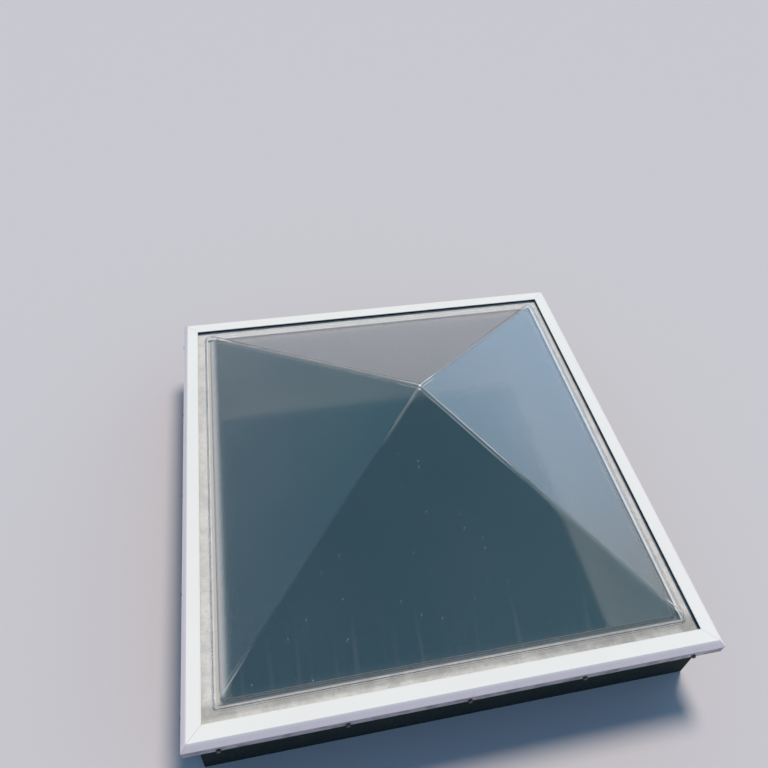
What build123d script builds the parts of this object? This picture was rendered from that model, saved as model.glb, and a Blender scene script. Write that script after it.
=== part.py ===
from build123d import *
from math import cos, radians, tan
import os

# A roof skylight: two pyramid domes in a square aluminium frame on a timber curb.
# The origin is the middle of the curb's underside. X runs along the near side,
# Y points from the near side to the far side, and Z is up. All sizes are in millimetres.
# Each side of the frame is drawn as a section in x and z, where x is the distance
# outward from the middle of the skylight, and is run along Y on the right-hand side.

# Driving sizes of the whole
opening = 1200.0
frame_top = 230.0
dome_pitch = 29.3

# Driving sizes of the white retainer
retainer_top_width = 33.0
retainer_wall = 2.2
skirt_wall = 2.0
skirt_outset = 46.0
skirt_slope_drop = 14.0
drip_lip_height = 2.5
retainer_edge_radius = 1.2
retainer_lip_radius = 0.6

# Driving sizes of the snap fit between the retainer and the base rail
snap_leg_gap = 3.0
snap_leg_wall = 2.0
snap_foot_gap = 1.0
snap_barb_lift = 1.0
snap_barb_reach = 1.6
snap_barb_height = 2.5
snap_play = 0.3
snap_channel = 2.5
snap_rib_wall = 2.0
snap_hook_height = 2.2

# Driving sizes of the sheets and strips, from the top down
gasket_height = 7.5
gasket_width = 14.0
gasket_wall = 2.0
gasket_setback = 0.6
gasket_radius = 0.8
outer_dome_thickness = 3.5
spacer_thickness = 3.5
spacer_setback = 8.0
inner_dome_thickness = 3.0
tape_thickness = 1.5
tape_setback = 2.0
foam_thickness = 3.5
membrane_thickness = 1.5

# Driving sizes of the domes
flange_overlap = 22.0
outer_riser_inset = 22.0
inner_riser_inset = 40.0
riser_height = 13.7
riser_lean = 1.5
hip_foot_radius = 14.0
hip_tip_radius = 4.6
flange_corner_radius = 6.0
tip_half_width = 5.0
tip_fillet = 3.0
knee_fillet = 9.0
foot_fillet = 2.5

# Driving sizes of the base rails
base_outset = 45.0
base_wall = 2.5
base_skirt_drop = 43.0
base_leg_thickness = 2.5
chamber_inner_wall = 2.0
chamber_floor = 2.0
curb_clearance = 2.0
rail_top_gap = 0.3
rail_edge_radius = 0.8
jaw_setback = 2.0
break_gap = 6.0
jaw_depth = 6.5
jaw_wall = 1.0
jaw_lift = 0.5
neck_length = 1.6
neck_height = 2.0
head_length = 2.8

# Driving sizes of the condensation gutter
gutter_inset = 47.0
gutter_floor = 1.8
gutter_lip_wall = 2.0
gutter_lip_clearance = 1.0
gutter_bead = 1.6
gutter_edge_radius = 0.9

# Driving sizes of the curb
curb_outset = 18.0
board_thickness = 38.0
lining_thickness = 12.0

# Driving sizes of the fixings
screws_per_side = 5
screw_end_inset = 32.0
screw_lift = 7.0
screw_shank = 4.8
screw_hole = 5.2
screw_length = 52.0
screw_point = 7.0
screw_head_flats = 8.0
screw_head_height = 3.0
screw_flange = 11.0
screw_flange_height = 0.9
washer_diameter = 12.0
washer_thickness = 1.2
board_screw_shank = 5.0
board_screw_head = 10.0
board_screw_length = 85.0
board_screws_per_corner = 3
board_screw_margin = 40.0
retainer_key_clearance = 1.5
retainer_key_leg = 40.0
base_key_leg = 45.0

# Distances outward from the middle
half_opening = opening / 2
retainer_edge = half_opening + retainer_top_width
skirt_edge = half_opening + skirt_outset
base_face = half_opening + base_outset
curb_face = half_opening + curb_outset
flange_edge = half_opening + flange_overlap
snap_leg = flange_edge + snap_leg_gap
board_face = curb_face - membrane_thickness
board_back = board_face - board_thickness
lining_back = board_back - lining_thickness
chamber_side = curb_face + curb_clearance
jaw_mouth = half_opening - jaw_setback
snap_leg_outside = snap_leg + snap_leg_wall
gutter_lip = half_opening - gutter_inset

# Heights, worked down from the top of the retainer
retainer_under = frame_top - retainer_wall
outer_flange_top = retainer_under - gasket_height
outer_flange_under = outer_flange_top - outer_dome_thickness
inner_flange_top = outer_flange_under - spacer_thickness
inner_flange_under = inner_flange_top - inner_dome_thickness
leg_top = inner_flange_under - tape_thickness
leg_under = leg_top - base_leg_thickness
curb_top = leg_under - foam_thickness
board_top = curb_top - membrane_thickness
base_under = frame_top - base_skirt_drop
skirt_under = frame_top - skirt_slope_drop - drip_lip_height
screw_height = base_under + screw_lift
screw_tip = base_face + washer_thickness - screw_length

# The inner face of the retainer's sloped skirt: where it starts below the top, and how it falls
skirt_run = skirt_edge - retainer_edge
skirt_fall = skirt_slope_drop / skirt_run
skirt_inside_line = frame_top - skirt_wall * (1 + skirt_fall ** 2) ** 0.5
skirt_inside_top = retainer_edge - (retainer_under - skirt_inside_line) / skirt_fall

# The snap fit's heights
snap_foot = leg_top + snap_foot_gap
snap_barb_top = snap_foot + snap_barb_lift + snap_barb_height
snap_hook_under = snap_barb_top + snap_play
snap_rib_top = snap_hook_under + snap_hook_height

# The four sides in turn round the frame, and how far each is turned from the right-hand side
side_names = ("right", "far", "left", "near")
side_turns = {name: 360 / len(side_names) * place for place, name in enumerate(side_names)}
full_width_sides = ("near", "far")


def section(*corners):
    """A closed outline of corners (x, z), standing in the XZ plane."""
    return make_face(Polyline(*[(x, 0, z) for x, z in corners], close=True))


def rounded(face, radius, *corners):
    """The same outline with the named corners rounded."""
    near = [face.vertices().sort_by_distance((x, 0, z))[0] for x, z in corners]
    return fillet(near, radius)


def block(x_range, y_range, z_range):
    """A rectangular block between pairs of limits."""
    sizes = [high - low for low, high in (x_range, y_range, z_range)]
    middle = [(high + low) / 2 for low, high in (x_range, y_range, z_range)]
    return Pos(*middle) * Box(*sizes)


def mitred_length(face):
    """The right-hand side of a frame: a section run along Y and mitred at both ends."""
    limits = face.bounding_box()
    reach = limits.max.X + 1
    bar = extrude(face, amount=reach, dir=(0, 1, 0), both=True)
    wedge = make_face(Polyline((0, 0), (reach, reach), (reach, -reach), close=True))
    return bar & extrude(Pos(0, 0, limits.min.Z - 1) * wedge, amount=limits.max.Z - limits.min.Z + 2)


def strip(x_range, z_range):
    """A plain mitred strip with a rectangular section."""
    low, high = x_range
    under, top = z_range
    return mitred_length(section((low, under), (high, under), (high, top), (low, top)))


def along_side():
    """The distances along one side at which its frame screws stand."""
    span = 2 * (half_opening - screw_end_inset)
    return [span * (place / (screws_per_side - 1) - 0.5) for place in range(screws_per_side)]


def screw_bores(diameter, x_range):
    """Cylinders along X at the frame screws of the right-hand side."""
    low, high = x_range
    bore = Rot(0, 90, 0) * Cylinder(diameter / 2, high - low)
    return [Pos((low + high) / 2, along, screw_height) * bore for along in along_side()]


def retainer():
    """The white cap: a flat top, a sloped skirt with a drip lip, and a snap leg."""
    knee = frame_top - skirt_slope_drop
    lip_inside = skirt_edge - skirt_wall
    inside_knee = skirt_inside_line - (lip_inside - retainer_edge) * skirt_fall
    face = section(
        (half_opening, retainer_under),
        (half_opening, frame_top),
        (retainer_edge, frame_top),
        (skirt_edge, knee),
        (skirt_edge, skirt_under),
        (lip_inside, skirt_under),
        (lip_inside, inside_knee),
        (skirt_inside_top, retainer_under),
        (snap_leg_outside, retainer_under),
        (snap_leg_outside, snap_barb_top),
        (snap_leg_outside + snap_barb_reach, snap_barb_top),
        (snap_leg_outside, snap_foot),
        (snap_leg, snap_foot),
        (snap_leg, retainer_under),
    )
    face = rounded(face, retainer_edge_radius, (retainer_edge, frame_top), (skirt_edge, knee))
    face = rounded(face, retainer_lip_radius, (half_opening, frame_top), (skirt_edge, skirt_under))
    return mitred_length(face)


def base_rail():
    """The mill-finish rail: a hollow skirt, a leg over the curb, a snap rib and a jaw."""
    wall_inside = base_face - base_wall
    chamber_inside = chamber_side + chamber_inner_wall
    upstand_top = skirt_under - rail_top_gap
    rib_inside = snap_leg_outside + snap_channel
    rib_outside = rib_inside + snap_rib_wall
    hook_tip = rib_inside - snap_barb_reach - snap_play
    face = section(
        (chamber_side, base_under),
        (base_face, base_under),
        (base_face, upstand_top),
        (wall_inside, upstand_top),
        (wall_inside, leg_top),
        (rib_outside, leg_top),
        (rib_outside, snap_rib_top),
        (rib_inside, snap_rib_top),
        (hook_tip, snap_hook_under),
        (rib_inside, snap_hook_under),
        (rib_inside, leg_top),
        (jaw_mouth, leg_top),
        (jaw_mouth, curb_top + jaw_lift),
        (jaw_mouth + jaw_depth, curb_top + jaw_lift),
        (jaw_mouth + jaw_depth, leg_under),
        (chamber_side, leg_under),
    )
    chamber = section(
        (chamber_inside, base_under + chamber_floor),
        (wall_inside, base_under + chamber_floor),
        (wall_inside, leg_under),
        (chamber_inside, leg_under),
    )
    face = rounded(face, rail_edge_radius, (base_face, base_under), (base_face, upstand_top))
    rail = mitred_length(face - chamber - jaw_cavity(jaw_mouth, 1))
    return rail - screw_bores(screw_hole, (chamber_side - 1, base_face + 1))


def jaw_cavity(mouth, side):
    """The slot that holds one head of the thermal break: a neck, then a wider room."""
    middle = (leg_top + curb_top + jaw_lift) / 2
    room = (leg_top - curb_top - jaw_lift) / 2 - jaw_wall
    neck_end = mouth + side * neck_length
    room_end = neck_end + side * head_length
    return section(
        (mouth, middle - neck_height / 2),
        (neck_end, middle - neck_height / 2),
        (neck_end, middle - room),
        (room_end, middle - room),
        (room_end, middle + room),
        (neck_end, middle + room),
        (neck_end, middle + neck_height / 2),
        (mouth, middle + neck_height / 2),
    )


def thermal_break():
    """The plastic bar between the base rail and the gutter, with a head in each jaw."""
    gutter_mouth = jaw_mouth - break_gap
    bar = section(
        (gutter_mouth, curb_top + jaw_lift),
        (jaw_mouth, curb_top + jaw_lift),
        (jaw_mouth, leg_top),
        (gutter_mouth, leg_top),
    )
    return mitred_length(bar + jaw_cavity(jaw_mouth, 1) + jaw_cavity(gutter_mouth, -1))


def gutter():
    """The condensation gutter: a jaw, a floor on the curb, and a lip inside the dome."""
    mouth = jaw_mouth - break_gap
    jaw_back = mouth - jaw_depth
    lip_top = inner_flange_under - gutter_lip_clearance
    lip_inside = gutter_lip + gutter_lip_wall
    face = section(
        (gutter_lip, curb_top),
        (mouth, curb_top),
        (mouth, leg_top),
        (jaw_back, leg_top),
        (jaw_back, curb_top + gutter_floor),
        (lip_inside, curb_top + gutter_floor),
        (lip_inside, lip_top),
        (gutter_lip, lip_top),
    )
    corners = ((gutter_lip, lip_top), (lip_inside, lip_top), (gutter_lip, curb_top))
    face = rounded(face, gutter_edge_radius, *corners)
    bead = Pos(gutter_lip, 0, lip_top - gutter_bead) * Rot(90, 0, 0) * Circle(gutter_bead / 2)
    return mitred_length(face + bead - jaw_cavity(mouth, -1))


def rounded_square(half_width, radius, height):
    """A level square outline with rounded corners."""
    return Pos(0, 0, height) * RectangleRounded(2 * half_width, 2 * half_width, radius)


def soften(solid, height, radius):
    """Round every edge that lies at one height."""
    return fillet(solid.edges().filter_by_position(Axis.Z, height - 0.01, height + 0.01), radius)


def dome_skin(foot, flange_top, inset):
    """One surface of a dome as a solid: a short riser, four slopes and a small tip.

    inset is the depth below the outer surface: 0 for the outside, the thickness for the inside."""
    slope = tan(radians(dome_pitch))
    drop = inset / cos(radians(dome_pitch))
    knee = foot - riser_lean
    knee_height = flange_top + riser_height + inset * slope - drop
    tip = tip_half_width - inset / 4
    tip_height = flange_top + riser_height + (knee - tip) * slope - drop
    skin = loft([
        rounded_square(foot - inset, hip_foot_radius - inset, flange_top - 2 * inset),
        rounded_square(knee - inset, hip_foot_radius - inset, knee_height),
        rounded_square(tip, hip_tip_radius - inset / 4, tip_height),
    ], ruled=True)
    return soften(soften(skin, tip_height, tip_fillet - inset / 2), knee_height, knee_fillet - inset / 2)


def dome(foot, flange_top, thickness):
    """A thermoformed pyramid sheet with its flange."""
    flange = extrude(rounded_square(flange_edge, flange_corner_radius, flange_top), amount=-thickness)
    sheet = flange + dome_skin(foot, flange_top, 0) - dome_skin(foot, flange_top, thickness)
    level = sheet.edges().filter_by_position(Axis.Z, flange_top - 0.01, flange_top + 0.01)
    foot_ring = [edge for edge in level if max(abs((edge @ 0.5).X), abs((edge @ 0.5).Y)) < foot + 0.1]
    return fillet(foot_ring, foot_fillet)


def retainer_gasket():
    """The black hollow strip between the retainer and the outer dome's flange."""
    inner_edge = half_opening + gasket_setback
    outer_edge = inner_edge + gasket_width
    middle = ((inner_edge + outer_edge) / 2, (outer_flange_top + retainer_under) / 2)
    outside = Rectangle(gasket_width, gasket_height)
    hollow = Rectangle(gasket_width - 2 * gasket_wall, gasket_height - 2 * gasket_wall)
    tube = fillet(outside.vertices(), gasket_radius) - fillet(hollow.vertices(), gasket_radius)
    return mitred_length(Pos(middle[0], 0, middle[1]) * Rot(90, 0, 0) * tube)


def dome_spacer():
    """The light strip that keeps the two flanges apart."""
    inner_edge = half_opening - inner_riser_inset + spacer_setback
    return strip((inner_edge, flange_edge), (inner_flange_top, outer_flange_under))


def glazing_tape():
    """The strip under the inner dome's flange."""
    return strip((half_opening + tape_setback, flange_edge), (leg_top, inner_flange_under))


def foam_seal():
    """The foam between the curb's top and the base rail's leg."""
    return strip((jaw_mouth + jaw_depth, curb_face), (curb_top, leg_under))


def curb_board(side):
    """One board of the curb: the near and far boards run the full width."""
    half_length = board_face if side in full_width_sides else board_back
    board = block((board_back, board_face), (-half_length, half_length), (0, board_top))
    board -= screw_bores(screw_shank, (screw_tip, board_face + 1))
    return Rot(0, 0, side_turns[side]) * board - board_screws()


def lining_board(side):
    """One painted board of the light shaft's lining, inside the curb board."""
    half_length = board_back if side in full_width_sides else lining_back
    board = block((lining_back, board_back), (-half_length, half_length), (0, curb_top))
    return Rot(0, 0, side_turns[side]) * board


def curb_membrane():
    """A sheet of roof membrane turned up one side of the curb and folded over its top."""
    face = section((board_face, 0), (curb_face, 0), (curb_face, curb_top), (board_back, curb_top),
                   (board_back, board_top), (board_face, board_top))
    face = rounded(face, membrane_thickness, (curb_face, curb_top))
    return mitred_length(face) - screw_bores(screw_shank, (board_face - 1, curb_face + 1))


def round_the_frame(pieces):
    """The pieces of the right-hand side, repeated on all four sides."""
    return [Rot(0, 0, turn) * piece for turn in side_turns.values() for piece in pieces]


def frame_screws():
    """The hexagon-headed screws through the base rails into the curb."""
    seat = base_face + washer_thickness
    shank = Pos(0, 0, -(screw_length - screw_point) / 2) * Cylinder(screw_shank / 2, screw_length - screw_point)
    point = Pos(0, 0, screw_point / 2 - screw_length) * Cone(0.3, screw_shank / 2, screw_point)
    flange = Pos(0, 0, screw_flange_height / 2) * Cylinder(screw_flange / 2, screw_flange_height)
    hexagon = RegularPolygon(screw_head_flats / 2, 6, major_radius=False)
    head = Pos(0, 0, screw_flange_height) * extrude(hexagon, amount=screw_head_height)
    screw = Rot(0, 90, 0) * (shank + point + flange + head)
    return round_the_frame([Pos(seat, along, screw_height) * screw for along in along_side()])


def frame_screw_washers():
    """The sealing washers under the screw heads."""
    washer = Cylinder(washer_diameter / 2, washer_thickness) - Cylinder(screw_shank / 2, washer_thickness)
    turned = Pos(base_face + washer_thickness / 2, 0, screw_height) * Rot(0, 90, 0) * washer
    return round_the_frame([Pos(0, along, 0) * turned for along in along_side()])


def board_screws():
    """The countersunk screws that hold the curb's corners together."""
    sink = (board_screw_head - board_screw_shank) / 2
    shank = Pos(0, 0, -board_screw_length / 2) * Cylinder(board_screw_shank / 2, board_screw_length)
    head = Pos(0, 0, -sink / 2) * Cone(board_screw_shank / 2, board_screw_head / 2, sink)
    screw = Rot(0, 90, 0) * (shank + head)
    step = (board_top - 2 * board_screw_margin) / (board_screws_per_corner - 1)
    heights = [board_screw_margin + step * place for place in range(board_screws_per_corner)]
    along = (board_back + board_face) / 2
    row = [Pos(board_face, end * along, height) * screw for end in (-1, 1) for height in heights]
    return [Rot(0, 0, side_turns[side]) * piece for side in full_width_sides for piece in row]


def corner_keys(inside, outside, leg, under, top):
    """Four flat angles, one in each corner of the frame."""
    end = outside - leg
    plan = Polyline((outside, outside), (outside, end), (inside, end), (inside, inside), (end, inside),
                    (end, outside), close=True)
    key = extrude(Pos(0, 0, under) * make_face(plan), amount=top - under)
    return round_the_frame([key])


def retainer_corner_keys():
    """The keys behind the retainer's snap legs."""
    return corner_keys(snap_leg_outside, skirt_inside_top - retainer_key_clearance, retainer_key_leg,
                       snap_rib_top + retainer_key_clearance, retainer_under)


def base_corner_keys():
    """The keys that fill the chambers of the base rails."""
    return corner_keys(chamber_side + chamber_inner_wall, base_face - base_wall, base_key_leg,
                       base_under + chamber_floor, leg_under)


parts = {
    "outer_dome": dome(half_opening - outer_riser_inset, outer_flange_top, outer_dome_thickness),
    "inner_dome": dome(half_opening - inner_riser_inset, inner_flange_top, inner_dome_thickness),
    "frame_screws": Compound(frame_screws()),
    "frame_screw_washers": Compound(frame_screw_washers()),
    "board_screws": Compound(board_screws()),
    "retainer_corner_keys": Compound(retainer_corner_keys()),
    "base_corner_keys": Compound(base_corner_keys()),
}
for make in (retainer, base_rail, thermal_break, gutter, retainer_gasket, dome_spacer, glazing_tape,
             foam_seal, curb_membrane):
    piece = make()
    for side, turn in side_turns.items():
        parts[make.__name__ + "_" + side] = Rot(0, 0, turn) * piece
for make in (curb_board, lining_board):
    for side in side_names:
        parts[make.__name__ + "_" + side] = make(side)

os.makedirs("parts", exist_ok=True)
for name, shape in parts.items():
    export_step(shape, "parts/" + name + ".step")
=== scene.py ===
import math
from collections import namedtuple

import bpy
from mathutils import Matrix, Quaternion, Vector


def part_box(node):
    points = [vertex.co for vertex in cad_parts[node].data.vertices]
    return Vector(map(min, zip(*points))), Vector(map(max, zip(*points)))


# The looks of a roof skylight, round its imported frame, in metres. The near side is -Y, the right one +X.
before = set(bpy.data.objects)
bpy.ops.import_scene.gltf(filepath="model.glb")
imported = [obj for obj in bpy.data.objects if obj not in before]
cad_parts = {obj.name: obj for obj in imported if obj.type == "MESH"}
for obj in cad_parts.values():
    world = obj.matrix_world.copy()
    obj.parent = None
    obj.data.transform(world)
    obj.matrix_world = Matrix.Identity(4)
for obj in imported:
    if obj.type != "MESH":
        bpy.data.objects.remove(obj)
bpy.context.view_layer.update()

# The camera, as fitted to the frame's corners and the domes' tips in the photograph
IMAGE_SIZE = 768
FOCAL_PIXELS = 723.2
AXIS_ROW = 292.0
CAMERA_AT = Vector((-0.4022, -1.1751, 1.998))
AIM_AT = Vector((0.0604, 0.7123, 0.23))
CAMERA_ROLL = math.radians(4.055)
SENSOR_WIDTH = 36.0

# Edges on the object: a height, and distances out from the middle
FRAME_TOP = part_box("retainer_near")[1].z
RETAINER_INNER_EDGE = -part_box("retainer_near")[1].y
SPACER_INNER_EDGE = -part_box("dome_spacer_near")[1].y
LIGHT_SHAFT = -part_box("lining_board_left")[1].x
EAVES = SPACER_INNER_EDGE - 0.002

# Each pair below says where a change starts and where it is full, for Nodes.rise(). These are heights.
SKIRT_SHADE = (FRAME_TOP - 0.001, FRAME_TOP - 0.006)
RUN_OFF = (FRAME_TOP - 0.001, FRAME_TOP - 0.012)
BOARD_DAMP = (0.15, 0.21)

# Distances out from the middle
GRIME = (RETAINER_INNER_EDGE + 0.0065, RETAINER_INNER_EDGE + 0.0025)
STREAKS = (0.40, EAVES)
EAVES_DUST = (EAVES - 0.006, EAVES + 0.006)
# painted light: the pale band at the inner dome's foot, which on the left stands for the lit shaft wall
# seen through
SILT_AND_PAINTED_LIGHT = (SPACER_INNER_EDGE - 0.0325, SPACER_INNER_EDGE - 0.0085)
ABOVE_EAVES = (EAVES - 0.004, EAVES - 0.020)
FOOT_WEAR_AND_HIGHLIGHT = (0.48, 0.55)
TIP_HIGHLIGHT = (0.0035, 0.002)

# Distances from a mitre or a hip
MITRE_LINE = (0.0011, 0.0004)
HIP_LINE = (0.0015, 0.0006)
LEFT_OF_HIPS = (0.012, -0.012)

# Places along X and Y
NEAR_HALF_Y = (0.12, -0.12)
RIGHT_HALF_X = (-0.12, 0.12)
NEAR_SPACER_Y = (-0.54, -0.58)
SPACER_FOOT_Y = (-0.590, -0.578)
RIGHT_END_X = (0.05, 0.45)

# How far from the tip each hip's pale line, partly worn acrylic and partly painted highlight, reaches,
# and the part of that reach at which the line is at its palest
FAR_HIP_REACH = 0.03
LEFT_HIP_REACH = 0.14
RIGHT_HIP_REACH = 0.26
PALEST_PART = 0.6

# Shares of the domes' sheets that dust, silt, painted light, worn lines and painted highlights hide
FILM_SHARES = (0.006, 0.020)
STREAK_SHARE = 0.018
FLECK_SHARE = 0.32
EAVES_SHARE = 0.03
# SILT_TRACE is silt; the left share is painted light, for the lit shaft wall seen through the domes
SILT_TRACE = 0.03
LEFT_PAINTED_LIGHT_SHARE = 0.94
LEFT_HIP_SHARE = 0.15
RIGHT_HIP_SHARE = 0.5
TIP_HIGHLIGHT_SHARE = 0.75

# How uneven the hip lines of worn acrylic and painted highlight are, and how much of the left hip's
# line by the foot the right hip has
UNEVEN_WEAR_AND_HIGHLIGHT = (0.7, 1.3)
RIGHT_FOOT_PART = 0.2

# pale colour of worn acrylic, also used for the painted highlights on the hips and at the tip
WORN_AND_HIGHLIGHT_COLOUR = (0.84, 0.87, 0.90)
ACRYLIC_IOR = 1.49

# How far apart the noise is read on opposite sides and on the next side, so that no two look the same
OPPOSITE_SHIFT = 3.7
NEXT_SHIFT = 9.1

# The Mix node's sockets by number, because its sockets for numbers and for colours share their names
MIX_SHARE = 0
FIRST_NUMBER = 2
SECOND_NUMBER = 3
FIRST_COLOUR = 6
SECOND_COLOUR = 7
MIXED_COLOUR = 2

OnSide = namedtuple("OnSide", "run out height from_mitre")


class Nodes:
    """Adds nodes to one shader tree. Each call gives the new node's output, and node() the node itself."""

    def __init__(self, tree):
        self.tree = tree

    def node(self, kind):
        return self.tree.nodes.new("ShaderNode" + kind)

    def add(self, kind, inputs=None, output=0, **settings):
        made = self.node(kind)
        for name, value in settings.items():
            setattr(made, name, value)
        for name, value in (inputs or {}).items():
            if isinstance(value, bpy.types.NodeSocket):
                self.tree.links.new(value, made.inputs[name])
            else:
                made.inputs[name].default_value = value
        return made.outputs[output]

    def math(self, operation, *values):
        return self.add("Math", dict(enumerate(values)), operation=operation)

    def times(self, first, second):
        return self.math("MULTIPLY", first, second)

    def most(self, first, second):
        return self.math("MAXIMUM", first, second)

    def rise(self, value, start, full):
        """0 as far as start, 1 from full on, and smooth between them. start may lie above full."""
        inputs = {"Value": value, "From Min": start, "From Max": full}
        return self.add("MapRange", inputs, interpolation_type="SMOOTHSTEP")

    def mix(self, share, first, second, blend_type="MIX"):
        inputs = {MIX_SHARE: share, FIRST_COLOUR: first, SECOND_COLOUR: second}
        return self.add("Mix", inputs, MIXED_COLOUR, data_type="RGBA", blend_type=blend_type)

    def stain(self, base, share, strength, shade):
        return self.mix(self.times(share, strength), base, shade)

    def between(self, share, first, second):
        inputs = {MIX_SHARE: share, FIRST_NUMBER: first, SECOND_NUMBER: second}
        return self.add("Mix", inputs, data_type="FLOAT")

    def mix_shaders(self, share, first, second):
        return self.add("MixShader", dict(enumerate((share, first, second))))

    def noise(self, place, scale, detail=3.0, roughness=0.55):
        inputs = {"Vector": place, "Scale": scale, "Detail": detail, "Roughness": roughness}
        return self.add("TexNoise", inputs)

    def ragged(self, value, reach, scale, detail=3.0):
        """The value plus noise of up to this reach, for an edge that isn't straight."""
        return self.math("MULTIPLY_ADD", self.noise(self.place(), scale, detail), reach, value)

    def cell_distance(self, place, scale, **settings):
        """The distance from the middle of a point's cell, in a scatter of cells."""
        return self.add("TexVoronoi", {"Vector": place, "Scale": scale}, "Distance", **settings)

    def cell_number(self, place, scale, **settings):
        """A number from 0 to 1 that is the same all over a cell."""
        tint = self.add("TexVoronoi", {"Vector": place, "Scale": scale}, "Color", **settings)
        return self.add("SeparateColor", {"Color": tint}, "Red")

    def place(self):
        """The point on the object, in metres."""
        return self.add("TexCoord", output="Object")

    def axis(self, vector, name):
        return self.add("SeparateXYZ", {"Vector": vector}, name)

    def vector(self, x, y, z):
        return self.add("CombineXYZ", {"X": x, "Y": y, "Z": z})

    def dot(self, first, second):
        inputs = dict(enumerate((first, second)))
        return self.add("VectorMath", inputs, "Value", operation="DOT_PRODUCT")

    def on_side(self):
        """Where a point lies on its own side of the square, whose sides part at the mitres and the hips.

        run is the distance along the side, with a shift of its own on each side. out is the distance from
        the middle, and from_mitre is 0 on a mitre or a hip.
        """
        x, y, height = (self.axis(self.place(), name) for name in "XYZ")
        out_x = self.math("ABSOLUTE", x)
        out_y = self.math("ABSOLUTE", y)
        is_x_side = self.math("GREATER_THAN", out_x, out_y)
        along = self.between(is_x_side, x, y)
        signed_out = self.between(is_x_side, y, x)
        run = self.math("MULTIPLY_ADD", self.math("SIGN", signed_out), OPPOSITE_SHIFT, along)
        run = self.math("MULTIPLY_ADD", is_x_side, NEXT_SHIFT, run)
        from_mitre = self.math("ABSOLUTE", self.math("SUBTRACT", out_x, out_y))
        return OnSide(run, self.most(out_x, out_y), height, from_mitre)

    def drawn_noise(self, along_scale, across_scale, detail=3.0):
        """Noise that is drawn out along the side, with its own scale along it and across it."""
        side = self.on_side()
        along = self.times(side.run, along_scale)
        across = self.times(side.out, across_scale)
        up = self.times(side.height, across_scale)
        return self.noise(self.vector(along, across, up), 1.0, detail)

    def bump(self, height, distance):
        return self.add("Bump", {"Height": height, "Distance": distance}, "Normal")

    def shader(self, **inputs):
        """A Principled shader. Its inputs are named in small letters, with underscores for spaces."""
        named = {name.replace("_", " ").title().replace("Ior", "IOR"): v for name, v in inputs.items()}
        return self.add("BsdfPrincipled", named)

    def finish(self, shader):
        output = self.node("OutputMaterial")
        self.tree.links.new(shader, output.inputs["Surface"])


def colour(red, green, blue):
    return (red, green, blue, 1.0)


def powder_coat(n):
    """White powder coat, with painted shade on the skirt, run-off streaks, grime, specks and mitre lines.
    """
    side = n.on_side()
    cloud = n.noise(n.place(), scale=7.0)
    streak_place = n.vector(n.times(side.run, 60.0), side.out, n.times(side.height, 4.0))
    streak = n.rise(n.noise(streak_place, scale=1.0), 0.5, 0.75)
    run_off = n.times(streak, n.rise(side.height, *RUN_OFF))
    skirt = n.rise(side.height, *SKIRT_SHADE)
    grime = n.rise(n.ragged(side.out, reach=0.006, scale=120.0), *GRIME)
    speck = n.rise(n.noise(n.place(), scale=420.0, detail=1.0), 0.75, 0.79)
    mitre = n.rise(side.from_mitre, *MITRE_LINE)
    base = n.mix(cloud, colour(0.85, 0.825, 0.812), colour(0.90, 0.88, 0.865))
    base = n.stain(base, run_off, 0.3, colour(0.52, 0.52, 0.55))
    # painted shade: the skirt is mixed towards lavender grey, for the shade that the sloped skirt lies in
    base = n.stain(base, skirt, 0.5, colour(0.75, 0.62, 0.74))
    base = n.stain(base, grime, 0.22, colour(0.50, 0.48, 0.45))
    base = n.stain(base, speck, 0.5, colour(0.40, 0.38, 0.36))
    base = n.stain(base, mitre, 0.45, colour(0.30, 0.30, 0.31))
    peel = n.bump(n.noise(n.place(), scale=900.0, detail=1.0), distance=0.00005)
    return n.shader(base_color=base, roughness=n.between(cloud, 0.36, 0.5), normal=peel)


def mill_aluminium(n):
    """Bare aluminium with lines from the die, and dull cloudy dirt that hides the metal."""
    lines = n.drawn_noise(along_scale=3.0, across_scale=900.0)
    dirt = n.rise(n.drawn_noise(along_scale=22.0, across_scale=40.0, detail=5.0), 0.40, 0.70)
    metal = n.mix(lines, colour(0.42, 0.42, 0.445), colour(0.57, 0.57, 0.59))
    base = n.mix(dirt, metal, colour(0.24, 0.225, 0.25))
    metallic = n.between(dirt, 0.5, 0.1)
    roughness = n.between(dirt, 0.4, 0.75)
    bumps = n.bump(lines, distance=0.00003)
    return n.shader(base_color=base, metallic=metallic, roughness=roughness, normal=bumps)


def gutter_aluminium(n):
    """Pale aluminium with lines from the die, and a little silt."""
    lines = n.drawn_noise(along_scale=4.0, across_scale=700.0)
    cloud = n.noise(n.place(), scale=30.0, detail=5.0)
    base = n.mix(lines, colour(0.62, 0.61, 0.58), colour(0.74, 0.73, 0.70))
    base = n.stain(base, n.rise(cloud, 0.55, 0.7), 0.5, colour(0.40, 0.38, 0.34))
    roughness = n.between(cloud, 0.35, 0.6)
    bumps = n.bump(lines, distance=0.00003)
    return n.shader(base_color=base, metallic=0.3, roughness=roughness, normal=bumps)


def break_plastic(n):
    """Black plastic with a fine grain."""
    grain = n.noise(n.place(), scale=600.0, detail=2.0)
    base = n.mix(grain, colour(0.028, 0.028, 0.03), colour(0.045, 0.045, 0.047))
    roughness = n.between(grain, 0.5, 0.65)
    return n.shader(base_color=base, roughness=roughness, normal=n.bump(grain, distance=0.00005))


def black_rubber(n):
    """Black rubber with a thin film of dust."""
    grain = n.noise(n.place(), scale=700.0, detail=2.0)
    dust = n.rise(n.drawn_noise(along_scale=30.0, across_scale=60.0, detail=4.0), 0.45, 0.75)
    base = n.stain(colour(0.010, 0.010, 0.010), dust, 0.3, colour(0.07, 0.068, 0.065))
    roughness = n.between(dust, 0.65, 0.9)
    bumps = n.bump(grain, distance=0.00008)
    return n.shader(base_color=base, roughness=roughness, normal=bumps, specular_ior_level=0.15)


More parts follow.
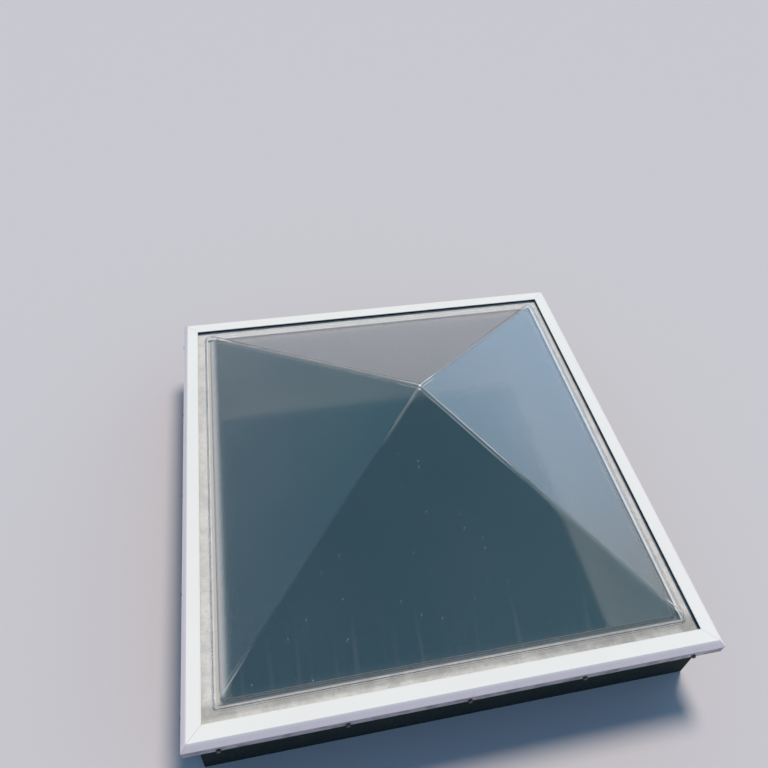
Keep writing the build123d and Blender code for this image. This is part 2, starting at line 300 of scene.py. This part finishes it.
def foam(n, light, dark, speck_colour):
    """Foam with fine cells, cloudy dirt and dark specks."""
    cells = n.cell_distance(n.place(), scale=900.0)
    cloud = n.rise(n.noise(n.place(), scale=28.0, detail=5.0, roughness=0.65), 0.35, 0.65)
    speck = n.rise(n.noise(n.place(), scale=260.0, detail=2.0), 0.64, 0.70)
    base = n.stain(n.mix(cloud, dark, light), speck, 0.6, speck_colour)
    return n.shader(base_color=base, roughness=0.85, normal=n.bump(cells, distance=0.0002))


def spacer_foam(n):
    """Pale foam, with more dirt on the near side, most at its right end and by the dome's foot."""
    x, y = (n.axis(n.place(), name) for name in "XY")
    near = n.rise(y, *NEAR_SPACER_Y)
    right_end = n.times(n.rise(x, *RIGHT_END_X), near)
    foot = n.times(n.rise(n.ragged(y, reach=0.008, scale=60.0, detail=4.0), *SPACER_FOOT_Y), near)
    light = n.mix(near, colour(0.85, 0.82, 0.805), colour(0.84, 0.81, 0.79))
    light = n.mix(right_end, light, colour(0.66, 0.65, 0.635))
    light = n.stain(light, foot, 0.7, colour(0.42, 0.40, 0.38))
    dark = n.mix(near, colour(0.70, 0.68, 0.67), colour(0.64, 0.62, 0.605))
    dark = n.mix(right_end, dark, colour(0.42, 0.42, 0.41))
    dark = n.stain(dark, foot, 0.7, colour(0.30, 0.285, 0.27))
    return foam(n, light, dark, colour(0.28, 0.27, 0.25))


def seal_foam(n):
    """Black foam."""
    return foam(n, colour(0.022, 0.022, 0.024), colour(0.014, 0.014, 0.016), colour(0.05, 0.05, 0.05))


def curb_wood(n):
    """Softwood boards, with wandering rings and fine fibres along each side."""
    side = n.on_side()
    wander = n.drawn_noise(along_scale=2.0, across_scale=12.0)
    across = n.times(n.math("ADD", side.height, side.out), 260.0)
    rings = n.math("SINE", n.math("MULTIPLY_ADD", wander, 60.0, across))
    fibre = n.drawn_noise(along_scale=15.0, across_scale=1200.0)
    base = n.mix(n.rise(rings, -1.0, 1.0), colour(0.44, 0.29, 0.15), colour(0.62, 0.46, 0.28))
    base = n.stain(base, fibre, 0.4, colour(0.36, 0.23, 0.12))
    return n.shader(base_color=base, roughness=0.7, normal=n.bump(fibre, distance=0.0001))


def white_paint(n):
    """Brushed white paint, with damp marks high on the boards."""
    brush = n.drawn_noise(along_scale=5.0, across_scale=350.0)
    cloud = n.noise(n.place(), scale=9.0, detail=4.0)
    high = n.rise(n.axis(n.place(), "Z"), *BOARD_DAMP)
    damp = n.times(high, n.rise(n.noise(n.place(), scale=14.0), 0.45, 0.65))
    base = n.mix(cloud, colour(0.80, 0.80, 0.77), colour(0.87, 0.87, 0.85))
    base = n.stain(base, damp, 0.3, colour(0.55, 0.52, 0.45))
    roughness = n.between(brush, 0.4, 0.6)
    return n.shader(base_color=base, roughness=roughness, normal=n.bump(brush, distance=0.00008))


def roof_membrane(n):
    """Roofing felt with mineral granules and worn patches, coloured near black and greenish as painted
    shade.
    """
    granule_scale = 620.0
    shade = n.math("POWER", n.cell_number(n.place(), granule_scale), 1.5)
    patch = n.rise(n.noise(n.place(), scale=5.0, detail=5.0), 0.4, 0.7)
    # painted shade: the felt's own grey is darkened to near black with a green cast, for the deep shade the
    # curb stands in
    base = n.mix(shade, colour(0.008, 0.017, 0.016), colour(0.044, 0.062, 0.063))
    base = n.stain(base, patch, 0.35, colour(0.014, 0.023, 0.023))
    bumps = n.bump(n.cell_distance(n.place(), granule_scale), distance=0.0007)
    return n.shader(base_color=base, roughness=0.9, normal=bumps, specular_ior_level=0.15)


def screw_steel(n):
    """Dull, stained steel."""
    cloud = n.noise(n.place(), scale=500.0)
    base = n.mix(cloud, colour(0.10, 0.095, 0.10), colour(0.26, 0.25, 0.25))
    roughness = n.between(cloud, 0.3, 0.6)
    bumps = n.bump(cloud, distance=0.00005)
    return n.shader(base_color=base, metallic=0.85, roughness=roughness, normal=bumps)


def lets_lamps_through(n, glass, tint):
    """Glass that rays from lamps and between matt surfaces pass straight, with a tint at each face."""
    path = n.node("LightPath").outputs
    clear = n.add("BsdfTransparent", {"Color": colour(*(math.sqrt(part) for part in tint))})
    shader = n.mix_shaders(path["Is Diffuse Ray"], glass, clear)
    return n.mix_shaders(path["Is Shadow Ray"], shader, clear)


def flecks(n, across, largest):
    """Share of a fleck at each point of a scatter, with cells this far across.

    Half of the cells hold one, of a size up to the largest.
    """
    side = n.on_side()
    scatter = {"place": n.vector(side.run, side.out, 0.0), "scale": 1.0 / across}
    distance = n.cell_distance(voronoi_dimensions="2D", **scatter)
    number = n.cell_number(voronoi_dimensions="2D", **scatter)
    size = n.between(n.rise(number, 0.5, 1.0), 0.002, largest / across)
    return n.rise(distance, size, n.times(size, 0.5))


def dome_dust(n):
    """Share of the sheet that dust hides: a thin film, flecks, and streaks that run down to the eaves."""
    side = n.on_side()
    film = n.between(n.noise(n.place(), scale=2.2, detail=2.0), *FILM_SHARES)
    streak_place = n.vector(n.times(side.run, 46.0), n.times(side.out, 2.0), 0.0)
    streak = n.rise(n.noise(streak_place, scale=1.0, detail=2.0), 0.5, 0.8)
    streaks = n.times(n.times(streak, n.rise(side.out, *STREAKS)), STREAK_SHARE)
    fleck = n.times(flecks(n, across=0.045, largest=0.0013), FLECK_SHARE)
    foot = n.times(n.rise(side.out, *EAVES_DUST), EAVES_SHARE)
    return n.math("ADD", n.math("ADD", film, streaks), n.most(fleck, foot))


def hip_wear_and_highlight(n, foot_share):
    """Share of the sheet painted pale: a hairline at the ends of each hip, partly worn acrylic and partly a
    painted highlight, and a painted highlight at the tip.

    The near right hip's line is palest by the tip, and the near left one's by the foot. The far ones have
    hardly any.
    """
    side = n.on_side()
    x, y = (n.axis(n.place(), name) for name in "XY")
    near = n.rise(y, *NEAR_HALF_Y)
    right = n.rise(x, *RIGHT_HALF_X)
    near_reach = n.between(right, LEFT_HIP_REACH, RIGHT_HIP_REACH)
    reach = n.between(near, FAR_HIP_REACH, near_reach)
    tip_share = n.between(right, LEFT_HIP_SHARE, RIGHT_HIP_SHARE)
    # the hip lines are partly worn acrylic and partly painted highlight, laid where the hips would catch
    # the light
    by_tip = n.times(n.rise(side.out, reach, n.times(reach, PALEST_PART)), tip_share)
    foot = n.times(near, n.between(right, foot_share, RIGHT_FOOT_PART * foot_share))
    by_foot = n.times(n.rise(side.out, *FOOT_WEAR_AND_HIGHLIGHT), foot)
    uneven = n.between(n.noise(n.place(), scale=14.0, detail=4.0), *UNEVEN_WEAR_AND_HIGHLIGHT)
    line = n.times(n.rise(side.from_mitre, *HIP_LINE), n.rise(side.out, *ABOVE_EAVES))
    worn_and_highlit = n.times(n.times(n.most(by_tip, by_foot), uneven), line)
    # painted highlight: a pale spot at the tip, where the apex would catch the light
    tip = n.times(n.rise(side.out, *TIP_HIGHLIGHT), TIP_HIGHLIGHT_SHARE)
    return n.most(worn_and_highlit, tip)


def silt_and_painted_light(n):
    """Share of the inner dome's foot painted pale: thick painted light on the left, a trace of silt
    elsewhere.
    """
    x, y = (n.axis(n.place(), name) for name in "XY")
    past_hips = n.math("ADD", n.math("ABSOLUTE", y), x)
    on_left = n.rise(past_hips, *LEFT_OF_HIPS)
    # painted light on the left, where the lit shaft wall would show through; a trace of silt elsewhere
    foot = n.rise(n.ragged(n.on_side().out, reach=0.004, scale=40.0, detail=4.0), *SILT_AND_PAINTED_LIGHT)
    return n.times(foot, n.between(on_left, SILT_TRACE, LEFT_PAINTED_LIGHT_SHARE))


def acrylic(n, tint, dirt, dirt_and_painted_light_colour, wear_and_highlight, smooth, smeared):
    """A clear sheet, hidden in part by dirt, painted light, pale worn lines and painted highlights, and
    from smooth to smeared in roughness.
    """
    sheet = n.mix(dirt, colour(*tint), colour(*dirt_and_painted_light_colour))
    glass = n.shader(
        # the pale lines mixed in here are worn acrylic and painted highlights
        base_color=n.mix(wear_and_highlight, sheet, colour(*WORN_AND_HIGHLIGHT_COLOUR)),
        transmission_weight=n.math("SUBTRACT", 1.0, n.most(dirt, wear_and_highlight)),
        roughness=n.between(n.noise(n.place(), scale=6.0, detail=4.0), smooth, smeared),
        ior=ACRYLIC_IOR,
    )
    return lets_lamps_through(n, glass, tint)


def clear_acrylic(n):
    return acrylic(
        n,
        tint=(0.985, 0.98, 0.98),
        dirt=dome_dust(n),
        dirt_and_painted_light_colour=(0.62, 0.62, 0.62),
        wear_and_highlight=hip_wear_and_highlight(n, foot_share=0.4),
        smooth=0.01,
        smeared=0.035,
    )


def tinted_acrylic(n):
    """The inner sheet, a little hazy, so that the shaft below shows with soft edges."""
    return acrylic(
        n,
        tint=(0.50, 0.555, 0.56),
        # on the inner sheet the dirt is dust plus the foot's painted light, in one beige colour
        dirt=n.most(n.times(dome_dust(n), 0.5), silt_and_painted_light(n)),
        dirt_and_painted_light_colour=(0.64, 0.595, 0.545),
        wear_and_highlight=hip_wear_and_highlight(n, foot_share=0.0),
        smooth=0.09,
        smeared=0.14,
    )


MATERIALS = {
    "clear_acrylic": clear_acrylic,
    "tinted_acrylic": tinted_acrylic,
    "white_powder_coat": powder_coat,
    "mill_aluminium": mill_aluminium,
    "gutter_aluminium": gutter_aluminium,
    "break_plastic": break_plastic,
    "black_rubber": black_rubber,
    "spacer_foam": spacer_foam,
    "seal_foam": seal_foam,
    "curb_wood": curb_wood,
    "white_paint": white_paint,
    "roof_membrane": roof_membrane,
    "screw_steel": screw_steel,
}


def remake(material, make_shader):
    """Gives the material new nodes."""
    material.node_tree.nodes.clear()
    n = Nodes(material.node_tree)
    n.finish(make_shader(n))


def dress():
    for slot, make_shader in MATERIALS.items():
        remake(bpy.data.materials[slot], make_shader)


# The floor is open under the light shaft, as a roof is. The opening's walls stand for the roof's thickness.
FLOOR_HALF = 40.0
FLOOR_GAP = 0.001
FLOOR_COLOUR = colour(0.605, 0.575, 0.61)
FLOOR_THICKNESS = 0.212
CORNERS = ((-1, -1), (1, -1), (1, 1), (-1, 1))


def plain_floor(n):
    return n.shader(base_color=FLOOR_COLOUR, roughness=0.9)


def stage_band(name, first, second, make_shader):
    """Four flat faces of the stage, between two square rings, each given as (half width, height)."""
    mesh = bpy.data.meshes.new(name)
    points = [(x * half, y * half, z) for half, z in (first, second) for x, y in CORNERS]
    count = len(CORNERS)
    following = [(side + 1) % count for side in range(count)]
    faces = [(side, after, count + after, count + side) for side, after in enumerate(following)]
    mesh.from_pydata(points, [], faces)
    band = bpy.data.objects.new(name, mesh)
    bpy.context.scene.collection.objects.link(band)
    material = bpy.data.materials.new(name)
    material.use_nodes = True
    remake(material, make_shader)
    mesh.materials.append(material)


def make_floor():
    rim = (LIGHT_SHAFT, -FLOOR_GAP)
    stage_band("floor", (FLOOR_HALF, -FLOOR_GAP), rim, plain_floor)
    stage_band("floor_opening", rim, (LIGHT_SHAFT, -FLOOR_THICKNESS), white_paint)


# The soft light. The sky goes from pale, low down, to dark overhead, by the height of a direction. It is
# bluer and dimmer on the near left, and has a wide glow low on the far right. One large lamp stands high on
# the far right too. Each SPREAD says where a change starts and where it is full, in parts of a direction.
SKY = (
    (0.00, (0.565, 0.58, 0.60)),
    (0.12, (0.70, 0.71, 0.74)),
    (0.30, (0.62, 0.74, 0.80)),
    (0.55, (0.17, 0.45, 0.57)),
    (0.85, (0.12, 0.25, 0.35)),
    (1.00, (0.08, 0.20, 0.30)),
)
SUNNY_TOWARD = Vector((0.75, 0.66, 0.0))
SHADE_SPREAD = (-0.6, 0.5)
SHADE = (0.50, 0.49, 0.70)
GLOW_TOWARD = Vector((0.72, 0.68, 0.10)).normalized()
GLOW_SPREAD = (0.88, 1.0)
GLOW = (0.11, 0.37, 0.70)
LAMP_TOWARD = Vector((0.24, 0.42, 1.0)).normalized()
LAMP_STRENGTH = 2.8
LAMP_COLOUR = (1.0, 0.89, 0.755)
LAMP_ANGLE = math.radians(16.0)

# Below the horizon lies a room with a dark floor, and with sides that are paler on the left.
HORIZON_SPREAD = (-0.07, -0.12)
ROOM_LEFT = (0.50, 0.49, 0.47)
ROOM_RIGHT = (0.14, 0.14, 0.14)
ROOM_SIDES_SPREAD = (-0.45, 0.15)
ROOM_FLOOR = (0.020, 0.078, 0.098)
ROOM_FLOOR_SPREAD = (-0.58, -0.68)


def sky_by_height(n, height):
    ramp = n.node("ValToRGB")
    steps = ramp.color_ramp.elements
    for step, (position, value) in zip(steps, (SKY[0], SKY[-1])):
        step.position = position
        step.color = colour(*value)
    for position, value in SKY[1:-1]:
        steps.new(position).color = colour(*value)
    n.tree.links.new(height, ramp.inputs["Fac"])
    return ramp.outputs["Color"]


def make_sky(n, toward):
    sunny = n.rise(n.dot(toward, SUNNY_TOWARD), *SHADE_SPREAD)
    shade = n.mix(sunny, colour(*SHADE), colour(1.0, 1.0, 1.0))
    sky = n.mix(1.0, sky_by_height(n, n.axis(toward, "Z")), shade, "MULTIPLY")
    glow = n.rise(n.dot(toward, GLOW_TOWARD), *GLOW_SPREAD)
    return n.mix(glow, sky, colour(*GLOW), "ADD")


def make_room(n, toward):
    rightward = n.rise(n.axis(toward, "X"), *ROOM_SIDES_SPREAD)
    sides = n.mix(rightward, colour(*ROOM_LEFT), colour(*ROOM_RIGHT))
    downward = n.rise(n.axis(toward, "Z"), *ROOM_FLOOR_SPREAD)
    return n.mix(downward, sides, colour(*ROOM_FLOOR))


def make_world():
    world = bpy.data.worlds.new("studio")
    bpy.context.scene.world = world
    world.use_nodes = True
    tree = world.node_tree
    tree.nodes.clear()
    n = Nodes(tree)
    toward = n.add("TexCoord", output="Generated")
    below = n.rise(n.axis(toward, "Z"), *HORIZON_SPREAD)
    seen = n.mix(below, make_sky(n, toward), make_room(n, toward))
    output = n.node("OutputWorld")
    tree.links.new(n.add("Background", {"Color": seen}), output.inputs["Surface"])


def make_lamp():
    """The lamp. It isn't seen in the glass, because it is the studio's light and not a thing in it."""
    data = bpy.data.lights.new("soft_lamp", "SUN")
    data.energy = LAMP_STRENGTH
    data.color = LAMP_COLOUR
    data.angle = LAMP_ANGLE
    lamp = bpy.data.objects.new("soft_lamp", data)
    lamp.rotation_mode = "QUATERNION"
    lamp.rotation_quaternion = LAMP_TOWARD.to_track_quat("Z", "Y")
    lamp.visible_glossy = False
    lamp.visible_transmission = False
    bpy.context.scene.collection.objects.link(lamp)


def make_camera():
    data = bpy.data.cameras.new("camera")
    data.sensor_width = SENSOR_WIDTH
    data.lens = FOCAL_PIXELS / IMAGE_SIZE * SENSOR_WIDTH
    data.shift_y = (AXIS_ROW - IMAGE_SIZE / 2) / IMAGE_SIZE
    camera = bpy.data.objects.new("camera", data)
    camera.rotation_mode = "QUATERNION"
    camera.location = CAMERA_AT
    level = (AIM_AT - CAMERA_AT).to_track_quat("-Z", "Y")
    camera.rotation_quaternion = level @ Quaternion((0, 0, 1), CAMERA_ROLL)
    bpy.context.scene.collection.objects.link(camera)
    bpy.context.scene.camera = camera


dress()
make_floor()
make_world()
make_lamp()
make_camera()
bpy.context.scene.view_settings.view_transform = "Standard"
